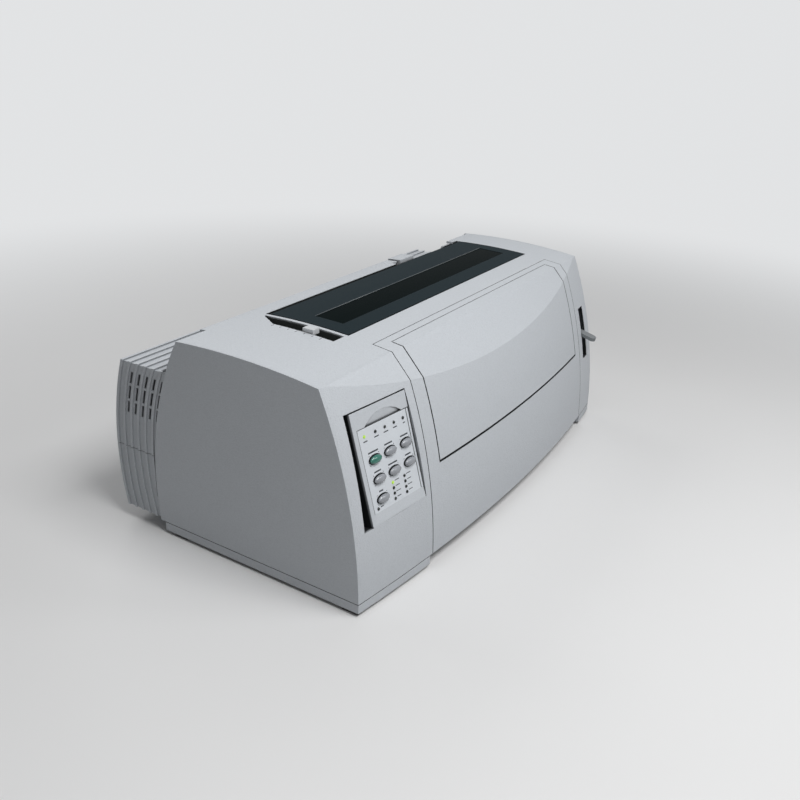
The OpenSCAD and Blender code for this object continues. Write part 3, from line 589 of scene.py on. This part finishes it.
print(len(KEYS), "keys with", len(FOOT + ARC), "rings each")

# %% A collar of film round each key
collar_film = Finish("film_collar", 0.00002)
collar_fibres = collar_film.place.noise(FILM_GRAIN, 2)
collar_film.set("Base Color", collar_fibres.blend(*FILM_SHADES))
collar_film.set("Roughness", collar_fibres * 0.05 + 0.32)
# Each ring is wider and higher than the key by so much, and lies at a height
COLLAR = [(3.2, 4.4, -0.79), (3.2, 4.4, -0.72), (1.1, 1.2, -0.72), (1.1, 1.2, -0.79)]
for name, (kx, ky) in KEYS.items():
    rings = [ellipse(KEY_W + wide, KEY_H + high, z) for wide, high, z in COLLAR]
    place = PANEL @ Matrix.Translation((kx / 1000, ky / 1000, 0))
    dress(collar_film, stack(name.replace("button", "collar"), rings, place, "case",
                             False))
print(len(KEYS), "collars")

# %% [markdown]
# ## Lamps
# Above and below the keys small round lamps look through the film. Most are dark; the power lamp
# and the first of the setting lamps glow yellow-green. The lamps are little lenses, so each gets
# a domed cap.

# %% Lamps
LAMPS = ([(x, 32.8) for x in (-30.2, -13.6, 0.9, 15.1, 29.6)]
         + [(-1, -26.2 - 5.85 * i) for i in range(4)]
         + [(17.7, -25.9 - 5.95 * i) for i in range(4)] + [(-28, -44.2)])
LIT = (0, 5)
dark_lens = Finish("dark_lamp_lens", 0.0001, Coat_Roughness=0.1)
smoke = dark_lens.place.noise(900, 2)
dark_lens.set("Base Color", smoke.blend((0.006, 0.008, 0.008, 1), (0.018, 0.022, 0.02, 1)))
dark_lens.set("Roughness", smoke * 0.1 + 0.15)
lit_lens = Finish("lit_lamp_lens", 0.0001)
glow = lit_lens.place.noise(900, 2)
lit_lens.set("Base Color", glow.blend((0.16, 0.30, 0.03, 1), (0.40, 0.55, 0.08, 1)))
lit_lens.set("Emission Color", glow.blend((0.22, 0.42, 0.03, 1), (0.45, 0.66, 0.10, 1)))
lit_lens.shader.inputs["Emission Strength"].default_value = 0.7
lit_lens.set("Roughness", glow * 0.1 + 0.25)
# Radius and height of each ring of a lens
LENS = [(1.62, -0.85), (1.62, -0.3), (1.5, -0.05), (1.15, 0.2), (0.6, 0.34), (0.15, 0.4)]
for i, (lx, ly) in enumerate(LAMPS):
    dome = [[(lx + x, ly + y, z) for x, y, z in ellipse(2 * r, 2 * r, z, 20)] for r, z in LENS]
    lens = stack("lamp_lens_%02d" % (i + 1), dome, PANEL, "case")
    dress(lit_lens if i in LIT else dark_lens, lens)
stems = moulded("lamp_stem_plastic", (0.03, 0.04, 0.035), 0.3, 900, 0.00002, 0.0002)
dress(stems, "indicator_lights")
print(len(LAMPS), "lamps,", len(LIT), "lit")

# %% [markdown]
# ## Printed marks
# The real film carries captions. They name functions in words, which this part leaves out, but
# their rhythm is part of the look, so each caption's place holds a plain short dash. The dashes
# are printed ink, a few hundredths of a millimetre thick, gathered into one piece. The same ink
# draws the seven detent marks beside the lever's slot.

# %% Marks on the panel and beside the lever slot
ink = Finish("grey_ink", 0.00002)
uneven = ink.place.noise(2500, 2)
ink.set("Base Color", uneven.blend((0.02, 0.025, 0.03, 1), (0.055, 0.062, 0.07, 1)))
ink.set("Roughness", uneven * 0.15 + 0.45)


def dashes(name, spots, place):
    """Thin bars, each at (x, y, z) with a length and a width, all in millimetres."""
    mesh = bmesh.new()
    for x, y, z, long, wide in spots:
        bar = bmesh.ops.create_cube(mesh, size=0.001)["verts"]
        bmesh.ops.scale(mesh, vec=(long, wide, 0.06), verts=bar)
        bmesh.ops.translate(mesh, vec=Vector((x, y, z)) / 1000, verts=bar)
    bmesh.ops.bevel(mesh, geom=mesh.edges[:], offset=0.00002, segments=1, affect="EDGES")
    return flat_shaded(settle(name, mesh, place, "case"))


# The film's height out of the panel, and the lengths of the dashes on it
FILM = -0.785
KEY_DASHES = (15, 12, 12, 10, 14, 9, 6)
STATUS_DASHES = (6, 7, 7, 6, 3.4)
SETTING_DASHES = (7, 6.4, 7, 6) * 2
captions = [(kx - 0.6, ky + 8.1, FILM, length, 1.6)
            for (kx, ky), length in zip(KEYS.values(), KEY_DASHES)]
captions += [(lx + 0.8, ly - 5.2, FILM, length, 1.2)
             for (lx, ly), length in zip(LAMPS[:5], STATUS_DASHES)]
captions += [(lx + 6.6, ly + 0.9, FILM, length, 0.9)
             for (lx, ly), length in zip(LAMPS[5:13], SETTING_DASHES)]
captions.append((LAMPS[13][0] + 6, LAMPS[13][1] + 0.6, FILM, 4.5, 0.9))
dress(ink, dashes("panel_marks", captions, PANEL))

DETENTS, FIRST_DETENT, DETENT_PITCH = 7, 118, 10.8
ticks = []
for i in range(DETENTS):
    ty = FIRST_DETENT + DETENT_PITCH * i
    ticks.append((-213.2, ty, top_height(ty) + 0.02, 3.4 if i % 3 else 5, 0.7))
dress(ink, dashes("lever_marks", ticks, IN_CASE))
print(len(captions), "dashes on the panel and", len(ticks), "marks at the lever")

# %% [markdown]
# ## A thin line on the cover
# Along the back of the window runs a narrow moulded rib that catches the light as one thin line.
# It is a half-round strip that follows the cover, so it rides with it when the cover is lifted.

# %% Window rib
RIB_Y = 165.55
rib_foot = top_height(165.5) - 0.25
turns = [math.pi * (-0.25 + 1.5 * k / 12) for k in range(13)]
rib = [[(x, RIB_Y + 0.55 * math.cos(a), rib_foot + 0.75 * math.sin(a)) for a in turns]
       for x in (-160.6, 228.6)]
window_rib = stack("window_rib", rib, IN_CASE, "ribbon_cover")
polished = moulded("polished_rib", (0.05, 0.062, 0.068), 0.3, 1200, 0.00002, 0.0001)
dress(polished, window_rib)
print("window rib on the ribbon cover")

# %% [markdown]
# ## Floor, light and background
# The printer stands on a plain pale floor under soft studio light: one wide lamp above and in
# front, as in the photograph, where the top is brightest and the left side lies in shade, and an
# even pale world to fill the shadows. A small low card lightens the front of that side, another
# gives the keys their sparkle, and a weak lamp serves the back. The camera sees no lamp.
# A white floor would throw so much light back up that the shaded side vanished, so only the
# camera sees it pale. Seen from above, a floor reaches the top of the picture. Far from the
# printer little lamp light arrives, which would leave it grey, so there the floor fades into the
# colour of the background, again for the camera alone.

# %% Stage
BACKGROUND = (0.76, 0.77, 0.78, 1)
FILL = 0.17
UNSEEN_FLOOR = (0.38, 0.38, 0.38, 1)
# The floor fades into the background between these distances from the printer, in metres
FADE_FROM, FADE_TO = 0.45, 1.7


def rays(tree):
    """Which rays come from the camera, and which show a thing straight, mirrored or through."""
    path = tree.nodes.new("ShaderNodeLightPath")
    straight, mirrored, through = (Wire(path.outputs["Is %s Ray" % kind])
                                   for kind in ("Camera", "Glossy", "Transmission"))
    shown = straight.sum("MAXIMUM", straight, mirrored)
    return straight, shown.sum("MAXIMUM", shown, through)


floor_mesh = bmesh.new()
bmesh.ops.create_grid(floor_mesh, x_segments=2, y_segments=2, size=30)
floor_data = bpy.data.meshes.new("studio_floor")
floor_mesh.to_mesh(floor_data)
floor_mesh.free()
floor = bpy.data.objects.new("studio_floor", floor_data)
bpy.context.scene.collection.objects.link(floor)
floor.location.z = -0.0002
paper = Finish("studio_paper", 0.0001)
viewed, shown = rays(paper.place.tree)
soft = paper.place.noise(3, 2)
pale = soft.blend((0.79, 0.79, 0.79, 1), (0.82, 0.82, 0.82, 1))
paper.set("Base Color", shown.blend(UNSEEN_FLOOR, pale))
paper.set("Roughness", soft * 0.1 + 0.85)
far = paper.place.make("ShaderNodeVectorMath", {"operation": "LENGTH"}, {0: paper.place}, 1)
fade = far.make("ShaderNodeMapRange", {"clamp": True, "interpolation_type": "SMOOTHSTEP"},
                {0: far, 1: FADE_FROM, 2: FADE_TO})
backdrop = paper.place.make("ShaderNodeEmission", {}, {"Color": BACKGROUND})
mixed = paper.place.make("ShaderNodeMixShader", {}, {
    0: viewed * fade, 1: Wire(paper.shader.outputs[0]), 2: backdrop})
output = paper.place.tree.nodes["Material Output"]
paper.place.tree.links.new(mixed.socket, output.inputs["Surface"])
floor.data.materials.append(paper.material)

world = bpy.data.worlds.new("studio_world")
world.use_nodes = True
sky = world.node_tree.nodes["Background"]
sky.inputs["Color"].default_value = BACKGROUND
_, seen = rays(world.node_tree)
strength = seen * (1 - FILL) + FILL
world.node_tree.links.new(strength.socket, sky.inputs["Strength"])
bpy.context.scene.world = world


def lamp(name, where, towards, size, watts):
    light = bpy.data.lights.new(name, "AREA")
    light.shape = "RECTANGLE"
    light.size, light.size_y = size
    light.energy = watts
    holder = bpy.data.objects.new(name, light)
    bpy.context.scene.collection.objects.link(holder)
    holder.location = where
    holder.visible_camera = False
    holder.rotation_euler = (Vector(towards) - Vector(where)).to_track_quat("-Z", "Y").to_euler()


lamp("key_softbox", (-0.3, -0.9, 1.5), (-0.1, 0, 0.1), (0.9, 0.7), 19)
lamp("side_card", (-1.0, -0.7, 0.35), (-0.3, -0.05, 0.08), (0.5, 0.4), 0.7)
lamp("spark_card", (0.29, -0.99, 0.81), (-0.246, -0.146, 0.148), (0.22, 0.22), 1.3)
lamp("back_softbox", (0.2, 1.3, 1.3), (0, 0.1, 0.15), (1.4, 0.8), 7)

scene = bpy.context.scene
scene.view_settings.view_transform = "Standard"
print("stage set, camera", scene.camera.name)
